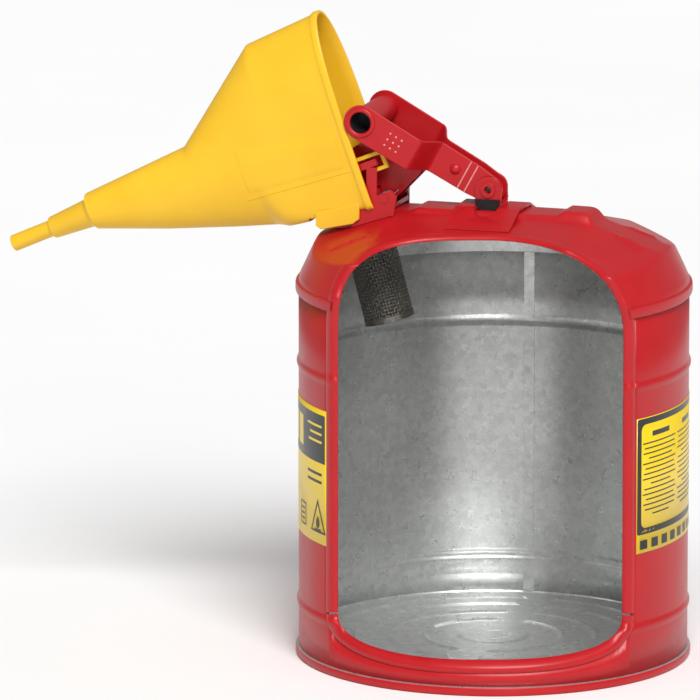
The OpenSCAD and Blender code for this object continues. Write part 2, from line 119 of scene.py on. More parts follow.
CUT_U = Vector((math.cos(WINDOW_TURN), math.sin(WINDOW_TURN), 0))
CUT_V = Vector((-math.sin(WINDOW_TURN) * math.sin(WINDOW_TILT),
                math.cos(WINDOW_TURN) * math.sin(WINDOW_TILT), math.cos(WINDOW_TILT)))
CUT_W = CUT_U.cross(CUT_V)


# ---------------------------------------------------------------- materials

def shader_tree(name):
    """A new material with its tree, its Principled shader and object coordinates."""
    mat = bpy.data.materials.new(name)
    mat.use_nodes = True
    tree = mat.node_tree
    shader = tree.nodes["Principled BSDF"]
    coords = tree.nodes.new("ShaderNodeTexCoord").outputs["Object"]
    return mat, tree, shader, coords


def noise(tree, coords, scale, detail=2.0):
    """A cloudy value over the coordinates."""
    node = tree.nodes.new("ShaderNodeTexNoise")
    node.inputs["Scale"].default_value = scale
    node.inputs["Detail"].default_value = detail
    tree.links.new(coords, node.inputs["Vector"])
    return node.outputs["Fac"]


def ramp(tree, factor, stops):
    """A colour ramp over factor, stops being (place, colour) pairs."""
    node = tree.nodes.new("ShaderNodeValToRGB")
    elements = node.color_ramp.elements
    while len(elements) < len(stops):
        elements.new(0.5)
    for element, (place, colour) in zip(elements, stops):
        element.position = place
        element.color = (*colour, 1.0)
    tree.links.new(factor, node.inputs["Fac"])
    return node.outputs["Color"]


def spread(tree, factor, low, high):
    """factor, stretched to run from low to high."""
    node = tree.nodes.new("ShaderNodeMapRange")
    node.inputs["From Min"].default_value = 0.3
    node.inputs["From Max"].default_value = 0.7
    node.inputs["To Min"].default_value = low
    node.inputs["To Max"].default_value = high
    tree.links.new(factor, node.inputs["Value"])
    return node.outputs["Result"]


def bump(tree, shader, height, strength, distance):
    """Fine relief on a shader from a value."""
    node = tree.nodes.new("ShaderNodeBump")
    node.inputs["Strength"].default_value = strength
    node.inputs["Distance"].default_value = distance
    tree.links.new(height, node.inputs["Height"])
    tree.links.new(node.outputs["Normal"], shader.inputs["Normal"])


def varied(name, dark, light, scale, rough, metal=0.0, coat=0.0, grain=0.0, grain_scale=1200.0):
    """A surface whose colour and roughness wander gently, with a fine grain."""
    mat, tree, shader, coords = shader_tree(name)
    cloud = noise(tree, coords, scale, 4.0)
    tree.links.new(ramp(tree, cloud, [(0.3, dark), (0.7, light)]), shader.inputs["Base Color"])
    tree.links.new(spread(tree, cloud, rough[0], rough[1]), shader.inputs["Roughness"])
    shader.inputs["Metallic"].default_value = metal
    shader.inputs["Coat Weight"].default_value = coat
    shader.inputs["Coat Roughness"].default_value = 0.12
    shader.inputs["Specular IOR Level"].default_value = 0.35
    if grain:
        bump(tree, shader, noise(tree, coords, grain_scale), grain, 0.0002)
    return mat


def zinc():
    """Galvanised sheet: soft crystals of slightly different grey over a fine grain."""
    mat, tree, shader, coords = shader_tree("galvanised_steel")
    cells = tree.nodes.new("ShaderNodeTexVoronoi")
    cells.inputs["Scale"].default_value = 240
    cells.inputs["Randomness"].default_value = 1.0
    warp = tree.nodes.new("ShaderNodeVectorMath")
    warp.operation = "MULTIPLY_ADD"
    warp.inputs[1].default_value = (0.005, 0.005, 0.005)
    swirl = tree.nodes.new("ShaderNodeTexNoise")
    swirl.inputs["Scale"].default_value = 300
    tree.links.new(coords, swirl.inputs["Vector"])
    tree.links.new(swirl.outputs["Color"], warp.inputs[0])
    tree.links.new(coords, warp.inputs[2])
    tree.links.new(warp.outputs["Vector"], cells.inputs["Vector"])
    split = tree.nodes.new("ShaderNodeSeparateColor")
    tree.links.new(cells.outputs["Color"], split.inputs["Color"])
    tone = ramp(tree, split.outputs["Red"], [(0.0, (0.56, 0.57, 0.56)), (1.0, (0.68, 0.69, 0.68))])
    speck = ramp(tree, noise(tree, coords, 700, 3.0), [(0.35, (0.88, 0.88, 0.88)), (0.6, (1, 1, 1))])
    mix = tree.nodes.new("ShaderNodeMix")
    mix.data_type = "RGBA"
    mix.blend_type = "MULTIPLY"
    mix.inputs["Factor"].default_value = 1.0
    tree.links.new(tone, mix.inputs["A"])
    tree.links.new(speck, mix.inputs["B"])
    tree.links.new(mix.outputs["Result"], shader.inputs["Base Color"])
    rough = tree.nodes.new("ShaderNodeMapRange")
    rough.inputs["To Min"].default_value = 0.27
    rough.inputs["To Max"].default_value = 0.34
    tree.links.new(split.outputs["Green"], rough.inputs["Value"])
    tree.links.new(rough.outputs["Result"], shader.inputs["Roughness"])
    shader.inputs["Metallic"].default_value = 0.72
    bump(tree, shader, noise(tree, coords, 500, 3.0), 0.05, 0.0003)
    return mat


RED = varied("red_powder_coat", (0.43, 0.006, 0.010), (0.47, 0.008, 0.012), 40, (0.34, 0.42),
             coat=0.08, grain=0.06, grain_scale=900)
ZINC = zinc()
WIRE = varied("woven_wire", (0.16, 0.15, 0.13), (0.30, 0.28, 0.25), 300, (0.35, 0.5), metal=1.0)
SPRING = varied("spring_steel", (0.42, 0.43, 0.44), (0.55, 0.56, 0.57), 200, (0.25, 0.35), metal=1.0)
RUBBER = varied("gasket_rubber", (0.012, 0.012, 0.012), (0.025, 0.025, 0.025), 300, (0.6, 0.75), grain=0.1)
YELLOW = varied("funnel_plastic", (0.80, 0.46, 0.016), (0.84, 0.50, 0.022), 25, (0.36, 0.44), grain=0.08)
VINYL = varied("label_yellow", (0.86, 0.60, 0.008), (0.90, 0.64, 0.012), 60, (0.30, 0.38), coat=0.2)
INK = varied("label_black", (0.010, 0.010, 0.011), (0.020, 0.020, 0.021), 90, (0.32, 0.42), coat=0.2)
# Pale pinkish red for the arm's raised lines and dots, lighter than the arm's paint.
EDGE = varied("pale_pink_marks", (0.66, 0.27, 0.24), (0.74, 0.36, 0.32), 200, (0.3, 0.4))
# Near-black painted shade: it colours the inside of the grip's bore and the half discs under the clevis ears,
# where shade falls.
SHADE_BLACK = varied("painted_shade_black", (0.006, 0.005, 0.005), (0.016, 0.012, 0.012), 200, (0.6, 0.75))


# ---------------------------------------------------------------- mesh helpers

def new_piece(name, points, faces, materials, body, sharp=35.0, replaces=()):
    """A mesh from points in millimetres, smooth except across edges sharper than sharp degrees."""
    mesh = bpy.data.meshes.new(name)
    mesh.from_pydata([Vector(p) * MM for p in points], [], faces)
    mesh.validate()
    obj = bpy.data.objects.new(name, mesh)
    bpy.context.scene.collection.objects.link(obj)
    fix = bmesh.new()
    fix.from_mesh(mesh)
    bmesh.ops.remove_doubles(fix, verts=fix.verts, dist=1e-7)
    bmesh.ops.recalc_face_normals(fix, faces=fix.faces)
    fix.to_mesh(mesh)
    fix.free()
    for mat in materials:
        mesh.materials.append(mat)
    shade(obj, sharp)
    if body:
        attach(obj, body)
    if replaces:
        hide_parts(*replaces)
    return obj


def shade(obj, sharp):
    """Smooth shading, except across edges sharper than sharp degrees."""
    obj.data.shade_smooth()
    obj.data.set_sharp_from_angle(angle=math.radians(sharp))


def loft(rings, closed=True, start=0):
    """Faces over a row of rings; the last ring joins the first if closed, else both ends are capped."""
    n = len(rings[0])
    m = len(rings)
    faces = []
    for k in range(m if closed else m - 1):
        for i in range(n):
            a, b = start + k * n + i, start + k * n + (i + 1) % n
            shift = ((k + 1) % m - k) * n
            faces.append((a, b, b + shift, a + shift))
    if not closed:
        faces.append([start + i for i in range(n)])
        faces.append([start + (m - 1) * n + i for i in reversed(range(n))])
    return faces


def sheet_faces(rings):
    """Faces over rings that run from the can's middle out and back, set side by side round its axis."""
    m = len(rings)
    n = len(rings[0])
    faces = []
    for k in range(m):
        for i in range(n - 1):
            a, b = k * n + i, ((k + 1) % m) * n + i
            faces.append((a, a + 1, b + 1, b))
    faces.append([k * n for k in range(m)])
    faces.append([k * n + n - 1 for k in reversed(range(m))])
    return faces


def flat(rings):
    """All the rings' points in one list."""
    return [p for ring in rings for p in ring]


def lathe(name, profile, place, body, mats, steps=96, replaces=(), sharp=35.0):
    """A closed profile of (radius, height) turned round Z, then placed."""
    rings = []
    for i in range(steps):
        a = 2 * math.pi * i / steps
        rings.append([place @ Vector((r * math.cos(a), r * math.sin(a), z)) for r, z in profile])
    return new_piece(name, flat(rings), loft(rings), mats, body, sharp, replaces)


def cut(obj, tools):
    """Takes the tools' solids out of obj, then removes the tools."""
    for tool in tools:
        mod = obj.modifiers.new("cut", "BOOLEAN")
        mod.operation = "DIFFERENCE"
        mod.solver = "EXACT"
        mod.object = tool
    bpy.context.view_layer.update()
    graph = bpy.context.evaluated_depsgraph_get()
    mesh = bpy.data.meshes.new_from_object(obj.evaluated_get(graph))
    obj.modifiers.clear()
    old = obj.data
    obj.data = mesh
    mesh.name = obj.name
    bpy.data.meshes.remove(old)
    for tool in tools:
        bpy.data.objects.remove(tool)


def cutter(points, faces):
    """A closed solid, only there to be cut away from another."""
    mesh = bpy.data.meshes.new("cutter")
    mesh.from_pydata([Vector(p) * MM for p in points], [], faces)
    fix = bmesh.new()
    fix.from_mesh(mesh)
    bmesh.ops.recalc_face_normals(fix, faces=fix.faces)
    fix.to_mesh(mesh)
    fix.free()
    obj = bpy.data.objects.new("cutter", mesh)
    bpy.context.scene.collection.objects.link(obj)
    return obj


def prism(outline, low, high, place):
    """A cutter: an outline in X and Y, from low to high, then placed."""
    rings = [[place @ Vector((x, y, h)) for x, y in outline] for h in (low, high)]
    return cutter(flat(rings), loft(rings, closed=False))


def circle(r, n=64):
    """A ring of n points round the origin, in the plane."""
    return [(r * math.cos(2 * math.pi * i / n), r * math.sin(2 * math.pi * i / n)) for i in range(n)]


def two_tone(obj, outside, inside):
    """Paint on the faces that look away from the can's middle, zinc on those that look into it."""
    mesh = obj.data
    mesh.materials.clear()
    mesh.materials.append(outside)
    mesh.materials.append(inside)
    for face in mesh.polygons:
        away = face.normal.dot(face.center - INSIDE * MM)
        face.material_index = 0 if away > 0 else 1


def soften(obj, width, segments=2):
    """Rounds the edges that turn more than 30 degrees."""
    bevel = obj.modifiers.new("round", "BEVEL")
    bevel.width = width * MM
    bevel.segments = segments
    bevel.limit_method = "ANGLE"
    bevel.angle_limit = math.radians(30)
    return bevel


def rounded(node, width, material, segments=2):
    """A CAD node as packed, with its edges rounded and a material on it."""
    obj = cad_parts[node]
    obj.data.materials.clear()
    obj.data.materials.append(material)
    obj.data.shade_smooth()
    if "custom_normal" in obj.data.attributes:
        obj.data.attributes.remove(obj.data.attributes["custom_normal"])
    weld = obj.modifiers.new("join", "WELD")
    weld.merge_threshold = 2e-6
    if width:
        soften(obj, width, segments).harden_normals = True
    return obj


def tube(path, r, sides=8):
    """Rings of a round wire along a path."""
    rings = []
    up = None
    for i, p in enumerate(path):
        after, before = path[min(i + 1, len(path) - 1)], path[max(i - 1, 0)]
        ahead = (Vector(after) - Vector(before)).normalized()
        if up is None:
            up = ahead.orthogonal().normalized()
        up = (up - ahead * up.dot(ahead)).normalized()
        side = ahead.cross(up)
        rings.append([Vector(p) + r * (c * up + s * side) for c, s in circle(1, sides)])
    return rings


class Bundle:
    """Several closed shapes gathered into one mesh."""

    def __init__(self):
        self.points = []
        self.faces = []

    def add(self, rings, closed=False):
        start = len(self.points)
        self.points += flat(rings)
        self.faces += loft(rings, closed=closed, start=start)


# ---------------------------------------------------------------- shapes shared with the frame

def bead(z):
    """How far the wall's two beads stand out at height z."""
    return sum(BEAD_RISE * math.cos(math.pi / 2 * (z - b) / BEAD_HALF) ** 2
               for b in BEAD_Z if abs(z - b) < BEAD_HALF)


def soft_max(a, b, k):
    """The larger of a and b, with the corner between them rounded over about k."""
    return 0.5 * (a + b + math.sqrt((a - b) ** 2 + k * k))


def soft_min(a, b, k):
    """The smaller of a and b, rounded in the same way."""
    return -soft_max(-a, -b, k)


def step(x, low, high):
    """A smooth rise from 0 at low to 1 at high."""
    t = min(max((x - low) / (high - low), 0), 1)
    return t * t * (3 - 2 * t)


def shoulder_z(r):
    """Height of the dome's shoulder at radius r."""
    if r < BROW_R:
        return BROW_Z + (BROW_R - r) / BROW_LEAN
    if r < KNEE_R:
        return KNEE_Z + (KNEE_R - r) / KNEE_LEAN
    return SEAM_TOP + (BODY_R - r) / SEAM_LEAN


def roof_z(x, y):
    """Height of the dome's roof without its pad and ribs."""
    return ROOF_Z - ROOF_FALL_X * max(abs(x) - ROOF_FLAT_X, 0) - ROOF_FALL_Y * max(abs(y) - ROOF_FLAT_Y, 0)


def in_window_frame(u, v, w):
    """A point from its places across, up and along the cutting direction."""
    return u * CUT_U + v * CUT_V + w * CUT_W


def blunt(t, n):
    """A sine or cosine pushed outwards, so that a circle becomes a blunt oval of power n."""
    return math.copysign(abs(t) ** (2 / n), t)


def window_point(angle, k):
    """The window's outline at an angle in degrees; k = 1 is the inner rim of the turned-in edge."""
    c, s = math.cos(math.radians(angle)), math.sin(math.radians(angle))
    if s >= 0:
        n, base, h = (3.2 if c < 0 else 2.3), WINDOW_HIGH, WINDOW_HIGH_H - k * EDGE_HIGH_W
    else:
        n, base, h = (2.3 if c < 0 else 2.6), WINDOW_LOW, WINDOW_LOW_H - k * EDGE_LOW_W
    return WINDOW_MID + (WINDOW_HALF_W - k * EDGE_W) * blunt(c, n), base + h * blunt(s, n)


def shoulder_r(z):
    """Radius of the dome's shoulder at height z."""
    if z < KNEE_Z:
        return BODY_R - SEAM_LEAN * max(z - SEAM_TOP, 0)
    if z < BROW_Z:
        return KNEE_R - KNEE_LEAN * (z - KNEE_Z)
    return BROW_R - BROW_LEAN * (z - BROW_Z)


def within(p):
    """Whether a point is inside the can's outer skin."""
    limit = BODY_R + bead(p.z) if p.z < SEAM_TOP else shoulder_r(p.z)
    return math.hypot(p.x, p.y) < limit and p.z < roof_z(p.x, p.y)


def on_surface(uv):
    """Where a line along the cutting direction leaves the can."""
    low, high = 0.0, 240.0
    for _ in range(22):
        mid = (low + high) / 2
        if within(in_window_frame(uv[0], uv[1], mid)):
            low = mid
        else:
            high = mid
    return in_window_frame(uv[0], uv[1], low)


ON_SPOUT = Matrix.Translation(SPOUT_AT) @ Matrix.Rotation(-SPOUT_TILT, 4, "Y")
ON_HANDLE = Matrix.Translation(PIVOT) @ Matrix.Rotation(ARM_SLOPE, 4, "Y")
ALONG_Y = Matrix.Rotation(math.radians(90), 4, "X")


def window_cutter():
    """The window's outline, drawn out along the cutting direction."""
    outline = [window_point(360 * i / 96, 0) for i in range(96)]
    rings = [[in_window_frame(u, v, w) for u, v in outline] for w in (0, 260)]
    return cutter(flat(rings), loft(rings, closed=False))


# ---------------------------------------------------------------- the can

RIBS = [((-110, -66), (-82, -52), 2.0, 5.5), ((-110, 66), (-82, 52), 2.0, 5.5),
        ((96, -15), (122, -21), 1.5, 6.5), ((96, 15), (122, 21), 1.5, 6.5)]
RIB_H = 1.6


def rib_height(x, y):
    """Height of the wedge ribs pressed up out of the dome."""
    best = 0.0
    for (ax, ay), (bx, by), wa, wb in RIBS:
        dx, dy = bx - ax, by - ay
        run = math.hypot(dx, dy)
        t = ((x - ax) * dx + (y - ay) * dy) / run
        off = abs((x - ax) * dy - (y - ay) * dx) / run
        wide = wa + (wb - wa) * min(max(t / run, 0), 1)
        edge = min(wide - off, t + 1, run - t)
        best = max(best, RIB_H * step(edge, 0, 2.2))
    return best


def pad_height(x, y):
    """Height of the dome's long pad and of the hump on it."""
    def plateau(x0, x1, half, low, high):
        run = (high - low) * 1.9
        edge = min(x - x0, x1 - x, half - abs(y))
        return (high - low) * step(edge, -run, 0.6)

    return plateau(-56, 78, 15, ROOF_Z, PAD_Z) + plateau(58, 76, 12, PAD_Z, HUMP_Z)


def dome_z(x, y):
    """Height of the dome's outer skin."""
    fall_x = soft_max(abs(x) - ROOF_FLAT_X, 0, 2.5)
    fall_y = soft_max(abs(y) - ROOF_FLAT_Y, 0, 2.5)
    roof = ROOF_Z - ROOF_FALL_X * fall_x - ROOF_FALL_Y * fall_y + pad_height(x, y) + rib_height(x, y)
    return soft_min(roof, shoulder_z(math.hypot(x, y)), 1.6)


def dome():
    """Pressed dome with its pad, ribs and rolled seam, as one sheet of the wall's thickness."""
    radii = [1 + 2.0 * i for i in range(62)] + [124 + 0.9 * i for i in range(1, 26)]
    steps = 300
    h = 0.05
    low = SEAM_TOP - SEAM_H
    inside = BODY_R - WALL
    seam = [(147.2, SEAM_TOP + 0.3), (148.3, SEAM_TOP + 0.2), (149.1, SEAM_TOP - 0.6),
            (SEAM_R, SEAM_TOP - 2.2), (SEAM_R, low + 2.2), (149.0, low + 0.7), (148.2, low),
            (inside, low), (inside, SEAM_TOP - 1)]
    rings = []
    for i in range(steps):
        a = 2 * math.pi * i / steps
        c, s = math.cos(a), math.sin(a)
        outer, inner = [], []
        for r in radii:
            x, y = r * c, r * s
            p = Vector((x, y, dome_z(x, y)))
            fall_x = dome_z(x - h, y) - dome_z(x + h, y)
            fall_y = dome_z(x, y - h) - dome_z(x, y + h)
            outer.append(p)
            inner.append(p - WALL * Vector((fall_x, fall_y, 2 * h)).normalized())
        rings.append(outer + [Vector((r * c, r * s, z)) for r, z in seam] + inner[::-1])
    obj = new_piece("dome", flat(rings), sheet_faces(rings), [RED], "can",
                    replaces=("top_dome",))
    cut(obj, [window_cutter(), prism(circle(COLLAR_R, 96), -40, 30, ON_SPOUT)])
    two_tone(obj, RED, ZINC)
    shade(obj, 28)


def trim_strip(name, node, stations):
    """The turned-in edge: a rolled strip that leans in from the cut and ends in a thin fold."""
    across = [(-0.35, 0.2), (-0.28, 1.1), (-0.1, 1.75), (0.12, 1.7), (0.35, 0.7), (0.6, -1.1), (0.82, -3.1),
              (0.95, -4.5), (1.0, -5.4), (0.97, -6.3), (0.82, -6.2), (0.55, -4.2), (0.25, -2.4), (0.0, -2.4)]
    rings = []
    for station in stations:
        outer = on_surface(window_at(station, 0))
        inner = on_surface(window_at(station, 1))
        rings.append([outer + (inner - outer) * t + h * CUT_W for t, h in across])
    new_piece(name, flat(rings), loft(rings, closed=False), [RED], "can", sharp=50,
              replaces=(node,))


def window_at(station, k):
    """The outline at a station: an angle, or (side, height) along the straight sides."""
    if isinstance(station, tuple):
        side, height = station
        return WINDOW_MID + side * (WINDOW_HALF_W - k * EDGE_W), height
    return window_point(station, k)


def trims():
    """The turned-in edge in its two parts, with a small gap where they meet."""
    gap = 0.5
    rise = [WINDOW_LOW + gap + (WINDOW_HIGH - WINDOW_LOW - gap) * i / 70 for i in range(70)]
    arch = [(1, v) for v in rise] + [180 * i / 120 for i in range(121)] + [(-1, v) for v in reversed(rise)]
    sill = [180.6 + 178.8 * i / 120 for i in range(121)]
    trim_strip("window_trim_arch", "window_edge_arch", arch)
    trim_strip("window_trim_sill", "window_edge_sill", sill)


def floor_height(r, a):
    """Height of the floor: interrupted arc beads round a raised disc."""
    z = 1.3 * (1 - step(r, 24.5, 28))
    z -= 0.5 * (1 - step(r, 12, 15))
    quarter = (a % (math.pi / 2)) - math.pi / 4
    for ring in (52, 78, 104, 126):
        end = ring * (math.pi / 4 - abs(quarter)) - 12
        reach = math.hypot(r - ring, min(end, 0))
        z += 1.5 * math.cos(math.pi / 2 * min(reach / 3.4, 1)) ** 2
    return z


def bottom_pan():
    """The floor with its pressed beads, turned down into the rolled foot seam."""
    edge = BODY_R - WALL
    radii = [1] + [4 + 1.5 * i for i in range(93)] + [edge - 0.6]
    steps = 360
    under = FLOOR_Z - WALL
    foot = [(edge, FLOOR_Z + 1.2), (edge, FOOT_H), (147.6, FOOT_H), (148.7, FOOT_H - 0.6), (149.3, 5.0),
            (149.3, 2.2), (148.6, 0.7), (147.2, 0), (145.4, 0), (144.8, 0.8), (144.8, under), (1, under)]
    rings = []
    for i in range(steps):
        a = 2 * math.pi * i / steps
        c, s = math.cos(a), math.sin(a)
        top = [(r, FLOOR_Z + floor_height(r, a)) for r in radii]
        rings.append([Vector((r * c, r * s, z)) for r, z in top + foot])
    obj = new_piece("pan", flat(rings), sheet_faces(rings), [RED], "can", sharp=32,
                    replaces=("bottom_pan",))
    two_tone(obj, RED, ZINC)


# ---------------------------------------------------------------- labels

def on_wall(s, z, r):
    """A point on the wall, s along it from the -Y side towards +X."""
    a = s / BODY_R
    return Vector((r * math.sin(a), -r * math.cos(a), z))


def fine(outline, like=None, reach=4.0):
    """The outline with points added along its longer spans, as many as the outline it is like needs."""
    out = []
    like = like or outline
    for i, (s0, z0) in enumerate(outline):
        s1, z1 = outline[(i + 1) % len(outline)]
        n = max(1, math.ceil(abs(like[(i + 1) % len(like)][0] - like[i][0]) / reach))
        out += [(s0 + (s1 - s0) * k / n, z0 + (z1 - z0) * k / n) for k in range(n)]
    return out


def framed(ink, box, width, r_out, r_in):
    """A rounded black frame of a width just inside a box of the label."""
    s0, s1, z0, z1 = box
    outer = rounded_box(s0, s1, z0, z1, r_out)
    inner = rounded_box(s0 + width, s1 - width, z0 + width, z1 - width, r_in)
    ink.band(fine(outer), fine(inner, outer))


def rounded_box(s0, s1, z0, z1, r, n=6):
    """A box on the wall with its corners rounded by r."""
    corners = ((s1 - r, z1 - r, 0), (s0 + r, z1 - r, 90), (s0 + r, z0 + r, 180), (s1 - r, z0 + r, 270))
    out = []
    for cs, cz, first in corners:
        for k in range(n + 1):
            a = math.radians(first + 90 * k / n)
            out.append((cs + r * math.cos(a), cz + r * math.sin(a)))
    return out


class Print:
    """Ink patches on the wall, gathered into one thin mesh."""

    def __init__(self, layer=1):
        self.low = LABEL_R + 0.07 * layer - 0.12
        self.high = LABEL_R + 0.07 * layer
        self.bundle = Bundle()

    def band(self, outer, inner):
        """Ink between two outlines of the same count."""
        sides = ((outer, self.high), (inner, self.high), (inner, self.low), (outer, self.low))
        self.bundle.add([[on_wall(s, z, r) for s, z in line] for line, r in sides], closed=True)

    def box(self, s0, s1, z0, z1):
        """A filled patch, in strips that follow the wall's curve."""
        n = max(1, math.ceil((s1 - s0) / 4))
        rings = []
        for k in range(n + 1):
            s = s0 + (s1 - s0) * k / n
            rings.append([on_wall(s, z0, self.high), on_wall(s, z1, self.high),
                          on_wall(s, z1, self.low), on_wall(s, z0, self.low)])
        self.bundle.add(rings)

    def spot(self, outline):
        """A filled outline that is nearly flat, as a fan round its middle."""
        ms = sum(s for s, _ in outline) / len(outline)
        mz = sum(z for _, z in outline) / len(outline)
        rings = [[on_wall(s, z, self.low) for s, z in outline]]
        for share in (1.0, 0.5, 0.02):
            shrunk = [(ms + (s - ms) * share, mz + (z - mz) * share) for s, z in outline]
            rings.append([on_wall(s, z, self.high) for s, z in shrunk])
        self.bundle.add(rings)

    def finish(self, name, mat):
        """Makes the patches one piece on the can."""
        new_piece(name, self.bundle.points, self.bundle.faces, [mat], "can")


def wall_at(degrees):
    """The distance along the wall to an angle from the -Y side."""
    return math.radians(degrees) * BODY_R


def right_label():
    """Columns of plain bars in a black frame, over a row of squares."""
    s0, s1 = wall_at(62.6), wall_at(146)
    ink = Print()
    framed(ink, (s0 + 0.6, s1 - 0.6, LABEL_LOW + 14, LABEL_HIGH - 0.6), 4.6, 2.0, 5.0)
    squares = 15
    pitch = (s1 - s0 - 8) / squares
    for k in range(squares):
        s = s0 + 4 + k * pitch
        ink.box(s, s + pitch * 0.62, LABEL_LOW + 2.6, LABEL_LOW + 9.6)
    columns = 4
    gutter = 4.0
    wide = (s1 - s0 - 14 - gutter * (columns - 1)) / columns
    title_half = wide * 0.26
    shares = (1.0, 0.92, 0.97, 0.7, 1.0, 0.88, 0.95, 1.0, 0.6, 0.93, 1.0, 0.85, 0.97, 0.9, 0.5)
    for c in range(columns):
        middle = s0 + 7 + c * (wide + gutter) + wide / 2
        ink.box(middle - title_half, middle + title_half, LABEL_HIGH - 15.4, LABEL_HIGH - 11.6)
        for row in range(len(shares)):
            half = wide * shares[(row + 4 * c) % len(shares)] / 2
            z = LABEL_HIGH - 20.5 - 3.9 * row
            ink.box(middle - half, middle + half, z, z + 1.0)
    ink.finish("label_right_print", INK)
    rounded("label_right", 0, VINYL)


def warning_sign(ink, at_s, at_z):
    """A black triangle round a flame over a bar."""
    foot = at_z - 10
    outer = fine([(at_s - 12.5, foot), (at_s + 12.5, foot), (at_s, foot + 26)], reach=1.5)
    ms = sum(s for s, _ in outer) / len(outer)
    mz = sum(z for _, z in outer) / len(outer)
    ink.band(outer, [(ms + (s - ms) * 0.8, mz + (z - mz) * 0.8) for s, z in outer])
    flame = []
    for k in range(24):
        c, s = math.cos(math.pi * k / 12), math.sin(math.pi * k / 12)
        pinch = 1 - 0.75 * max(c, 0) ** 2
        flame.append((at_s + 3.0 * s * pinch, at_z - 3.0 + 4.6 * c * (1.25 if c > 0 else 0.8)))
    ink.spot(flame)
    ink.box(at_s - 5.5, at_s + 5.5, at_z - 8.6, at_z - 7.2)


def left_label():
    """A black field with light blocks, over plain bars, a framed block and the warning sign."""
    s0, s1 = wall_at(-106), wall_at(-41.4)
    ink = Print()
    ink.box(s0 + 3, s1 - 3, 160, LABEL_HIGH - 4)
    sign_s = s1 - 14.5
    warning_sign(ink, sign_s, 116.0)
    block = sign_s - 32
    framed(ink, (block - 8, block + 8, 106, 124), 1.6, 2.0, 1.2)
    for row in range(3):
        ink.box(block - 4.2, block + 4.2, 110 + 4 * row, 111.8 + 4 * row)
    for row in range(2):
        ink.box(s1 - 34, s1 - 8, 150 - 6 * row, 152.2 - 6 * row)
    ink.finish("label_left_print", INK)
    light = Print(2)
    for row, share in enumerate((1.0, 0.8, 0.9)):
        light.box(s1 - 8 - 26 * share, s1 - 8, 187 - 6 * row, 188.8 - 6 * row)
    for k in range(3):
        left = s1 - 46 - 19 * k
        light.box(left - 13, left, 167, 190)
    light.finish("label_left_light_print", VINYL)
    rounded("label_left", 0, VINYL)


# ---------------------------------------------------------------- spout, arrester, cap

def woven_sleeve(name, node, r, bottom, top, pitch, wire):
    """A woven wire sleeve: upright wires and hoops that pass over and under each other."""
    uprights = 2 * round(math.pi * r / pitch)
    hoops = round((top - bottom) / pitch)
    weave = Bundle()
    for k in range(uprights):
        a = 2 * math.pi * k / uprights
        path = []
        for i in range(2 * hoops + 1):
            s = bottom + (top - bottom) * i / (2 * hoops)
            swing = math.sin(math.pi * i / 2) * (1 if k % 2 else -1)
            q = r + 0.55 * wire * swing
            path.append(ON_SPOUT @ Vector((q * math.cos(a), q * math.sin(a), s)))
        weave.add(tube(path, wire / 2, 5))
    for j in range(hoops):
        s = bottom + (top - bottom) * (2 * j + 1) / (2 * hoops)
        flip = 1 if j % 2 else -1
        rings = []
        for i in range(uprights * 2):
            a = math.pi * i / uprights
            swing = (flip, 0, -flip, 0)[i % 4]
            q = r + 0.55 * wire * swing
            rings.append([ON_SPOUT @ Vector(((q + x) * math.cos(a), (q + x) * math.sin(a), s + z))
                          for x, z in circle(wire / 2, 5)])
        weave.add(rings, closed=True)
    new_piece(name, weave.points, weave.faces, [WIRE], "can", sharp=80, replaces=(node,))


def arrester():
    """Two woven sleeves, one in the other, between the neck's ring and a bottom cap."""
    for name, gap in (("outer", 0.5), ("inner", 3.4)):
        woven_sleeve(f"arrester_weave_{name}", f"arrester_{name}_mesh", ARRESTER_R - gap, -ARRESTER_L,
                     ARRESTER_TOP, 2.5, 0.9)
    rounded("arrester_top_ring", 0.4, ZINC)
    rounded("arrester_bottom_cap", 0.4, WIRE)


def cap_spring():
    """One torsion coil each side of the lever: its outer leg rests on the can, its inner leg on the lever."""
    coil, wire, turns = 4.1, 0.75, 5.5
    outer_y, inner_y = 23.0, 14.4
    n = 150
    for name, side in (("cap_spring_near", -1), ("cap_spring_far", 1)):
        path = [HINGE + Vector((3.2, side * 23.2, -5.8)), HINGE + Vector((4.7, side * 23.2, -0.6))]
        for i in range(n + 1):
            a = math.radians(60) + 2 * math.pi * turns * i / n
            y = side * (outer_y + (inner_y - outer_y) * i / n)
            path.append(HINGE + Vector((coil * math.cos(a), y, coil * math.sin(a))))
        last = path[-1]
        path.append(last + Vector((5.0, -side * 0.3, 4.0)))
        path.append(last + Vector((9.0, -side * 1.6, 8.0)))
        rings = tube(path, wire, 10)
        obj = new_piece(name, flat(rings), loft(rings, closed=False), [SPRING], None,
                        sharp=60, replaces=("cap_spring",))
        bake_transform(obj)


def spout():
    """The neck with its bracket, and the sprung cap on it."""
    rounded("spout_neck", 0.7, RED, segments=3)
    rounded("spout_collar", 0.5, RED)
    rounded("spout_bracket", 0.45, RED)
    rounded("cap_hinge_pin", 0.3, RED)
    rounded("cap_cover", 0.7, RED, segments=3)
    rounded("cap_gasket", 0.3, RUBBER)
    rounded("cap_relief_spring", 0, SPRING)
    rounded("cap_stem", 0.3, SPRING)
    rounded("cap_lever", 0.45, RED)
    arrester()
    cap_spring()


# ---------------------------------------------------------------- handle

def arm_y(x):
    """How far the arm's inner face stands from the middle plane at x along the arm."""
    t = min(max((x - JOGGLE_X) / JOGGLE_L, 0), 1)
    share = t * t * t * (t * (6 * t - 15) + 10)
    return ARM_WIDE_Y + (ARM_NARROW_Y - ARM_WIDE_Y) * share


